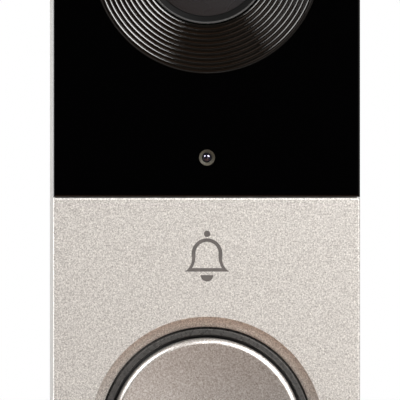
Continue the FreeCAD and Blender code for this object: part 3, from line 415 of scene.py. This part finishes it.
def glass_and_board_looks():
    dress("lens_elements", coated_glass("lens_glass", (0.35, 0.33, 0.5), (0.2, 0.42, 0.4)))
    dress("day_filter_glass", coated_glass("filter_glass", (0.3, 0.6, 0.6), (0.55, 0.35, 0.45)))
    dress("night_clear_glass", coated_glass("clear_glass", (0.75, 0.78, 0.8), (0.65, 0.7, 0.8)))
    dress("image_sensor", coated_glass("sensor_die", (0.12, 0.14, 0.2), (0.2, 0.12, 0.22)))
    dress("camera_board ir_board button_board main_board",
          circuit_board("circuit_board", (0.012, 0.085, 0.035), (0.03, 0.16, 0.06)))
    dress("flat_cables", amber_film("cable_film", (0.32, 0.13, 0.02), (0.45, 0.22, 0.06)))


# ---- Soft pieces --------------------------------------------------------------------------------
def compressed(name, node):
    """Copy of a soft node, hung on the housing, that stands in for the hidden node."""
    piece = bpy.data.objects.new(name, NODES[node].data.copy())
    SCENE.collection.objects.link(piece)
    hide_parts(node)
    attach(piece, "housing")
    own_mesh(piece)


# ---- Floor, light and camera --------------------------------------------------------------------
def floor():
    """Plain pale tabletop just under the object, which the object's metal doesn't mirror."""
    low = CAD_BOX[0][2] - FLOOR_GAP
    signs = ((-1, -1), (1, -1), (1, 1), (-1, 1))
    mesh = bpy.data.meshes.new("floor")
    mesh.from_pydata([(x * FLOOR_REACH, y * FLOOR_REACH, low) for x, y in signs], [],
                     [(0, 1, 2, 3)])
    piece = bpy.data.objects.new("floor", mesh)
    SCENE.collection.objects.link(piece)
    s = Shader("floor_paint", (0.62, 0.6, 0.57), 0.6)
    s.blend(s.noise(90, 4.0), (0.6, 0.58, 0.55), (0.64, 0.62, 0.59))
    s.bump(s.noise(700, 3.0), 0.00005, 0.2)
    mesh.materials.append(s.material)
    piece.visible_glossy = False


def studio():
    """White for the camera. The object mirrors a white cove, a dim room and a brown bench."""
    world = bpy.data.worlds.new("studio")
    SCENE.world = world
    world.use_nodes = True
    nodes, links = world.node_tree.nodes, world.node_tree.links
    nodes.clear()
    place = nodes.new("ShaderNodeTexCoord")
    split = nodes.new("ShaderNodeSeparateXYZ")
    links.new(place.outputs["Generated"], split.inputs["Vector"])

    def part(axis, start, end, colour):
        """Colour that fades in along one axis of the view direction."""
        fade = nodes.new("ShaderNodeMapRange")
        fade.interpolation_type = "SMOOTHSTEP"
        fade.inputs["From Min"].default_value = start
        fade.inputs["From Max"].default_value = end
        links.new(split.outputs[axis], fade.inputs["Value"])
        tint = nodes.new("ShaderNodeMix")
        tint.data_type = "RGBA"
        tint.inputs["A"].default_value = (0, 0, 0, 1)
        tint.inputs["B"].default_value = (*colour, 1)
        links.new(fade.outputs["Result"], tint.inputs["Factor"])
        glow = nodes.new("ShaderNodeBackground")
        links.new(tint.outputs["Result"], glow.inputs["Color"])
        return glow.outputs["Background"]

    def total(first, second):
        add = nodes.new("ShaderNodeAddShader")
        links.new(first, add.inputs[0])
        links.new(second, add.inputs[1])
        return add.outputs["Shader"]

    room = nodes.new("ShaderNodeBackground")
    room.inputs["Color"].default_value = (*ROOM, 1)
    lit = total(room.outputs["Background"], part("Y", *COVE))
    lit = total(lit, part("Z", *BENCH))
    seen = nodes.new("ShaderNodeBackground")
    seen.inputs["Color"].default_value = (1, 1, 1, 1)
    mix = nodes.new("ShaderNodeMixShader")
    path = nodes.new("ShaderNodeLightPath")
    links.new(path.outputs["Is Camera Ray"], mix.inputs["Fac"])
    links.new(lit, mix.inputs[1])
    links.new(seen.outputs["Background"], mix.inputs[2])
    out = nodes.new("ShaderNodeOutputWorld")
    links.new(mix.outputs["Shader"], out.inputs["Surface"])


def softbox(name, angle, off_axis, size, radiance, colour=(1, 1, 1)):
    """Rectangular light that faces the object.

    It stands at an angle above the right-hand horizontal, off the axis out of the front.
    """
    a, t = math.radians(angle), math.radians(off_axis)
    aim = Vector((math.sin(t) * math.cos(a), -math.cos(t), math.sin(t) * math.sin(a)))
    aim.normalize()
    data = bpy.data.lights.new(name, "AREA")
    data.shape = "RECTANGLE"
    data.size, data.size_y = size
    data.energy = radiance * math.pi * size[0] * size[1]
    data.color = colour
    lamp = bpy.data.objects.new(name, data)
    lamp.location = aim * LIGHT_DISTANCE
    lamp.rotation_euler = aim.to_track_quat("Z", "Y").to_euler()
    lamp.visible_camera = False
    SCENE.collection.objects.link(lamp)


def lights():
    softbox("key", 43, 50, (0.46, 0.46), 21.8, DAYLIGHT)
    softbox("fill", 137, 52, (0.4, 0.4), 10.5, DAYLIGHT)
    softbox("top", 90, 82, (0.8, 0.22), 0.46, (1.0, 0.965, 0.92))
    softbox("left_edge", 180, 100, (0.3, 0.6), 10.5)
    softbox("room_glow", -12, 19, (0.3, 0.5), 0.74, (1.0, 0.92, 0.87))


def camera():
    """Long lens from slightly left of square on, framed on the middle of the front."""
    target = Vector((-0.0011, FRONT, VIEW_HEIGHT))
    place = Vector((-0.055, FRONT - VIEW_DISTANCE, VIEW_HEIGHT))
    view_width = FRONT_WIDTH * PICTURE_WIDTH / FRONT_WIDTH_SEEN
    data = bpy.data.cameras.new("camera")
    data.sensor_width = 36.0
    data.lens = data.sensor_width * (target - place).length / view_width
    data.clip_start, data.clip_end = 0.05, 20.0
    piece = bpy.data.objects.new("camera", data)
    piece.location = place
    piece.rotation_euler = (target - place).to_track_quat("-Z", "Y").to_euler()
    SCENE.collection.objects.link(piece)
    SCENE.camera = piece


front_looks()
moulding_looks()
metal_looks()
glass_and_board_looks()
compressed("coil_spring", "return_spring")
compressed("seal_membrane", "button_seal")
floor()
studio()
lights()
camera()
SCENE.view_settings.view_transform = "Standard"
